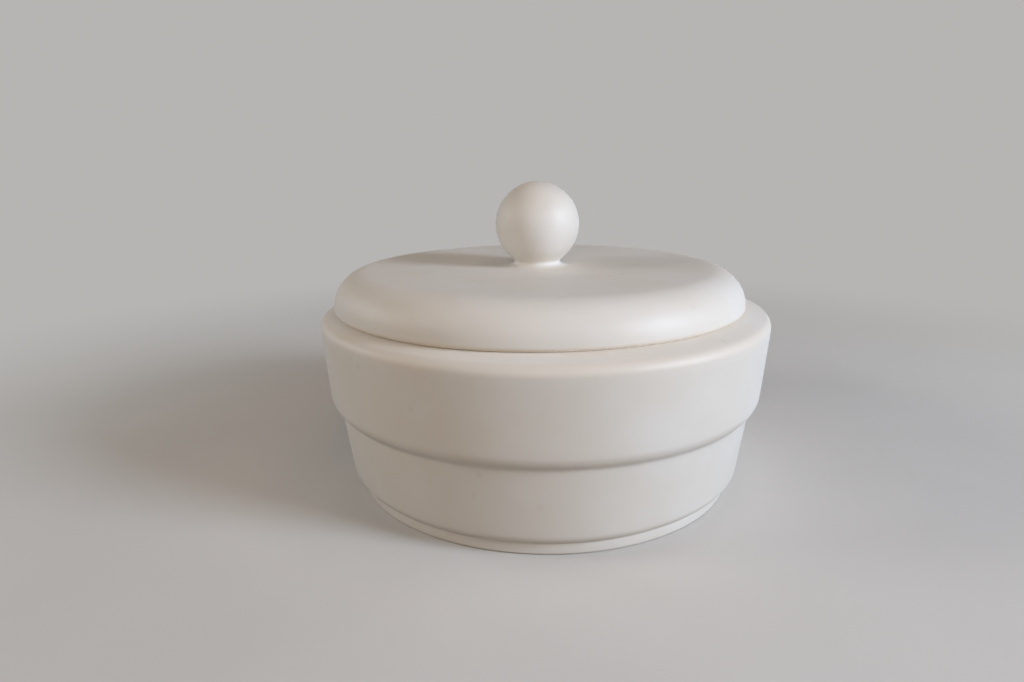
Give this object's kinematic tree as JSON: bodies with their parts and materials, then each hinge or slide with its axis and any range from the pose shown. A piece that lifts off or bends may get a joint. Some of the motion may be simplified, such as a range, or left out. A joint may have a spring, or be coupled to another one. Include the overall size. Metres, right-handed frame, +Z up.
{
  "type": "cookie jar",
  "caption": "Low round glazed stoneware cookie jar with a stepped, tapered wall on a recessed foot, and a loose domed lid with a ball knob.",
  "frame": {"origin": "middle of the foot ring's underside, on the surface the jar stands on", "axes": "+Z up along the jar's axis, -Y towards the viewer of the picture, +X to the viewer's right"},
  "size_m": [0.1996, 0.1996, 0.1331],
  "materials": {
    "glaze": "satin-matte off-white glaze over pale stoneware"
  },
  "bodies": {
    "jar": {"jar_body": "glaze"},
    "cover": {"lid": "glaze", "lid_knob": "glaze"}
  },
  "joints": [
    {"name": "lid_lift", "type": "slide", "parent": "jar", "child": "cover", "axis": [0, 0, 1], "range_m": [0, 0.12]}
  ]
}
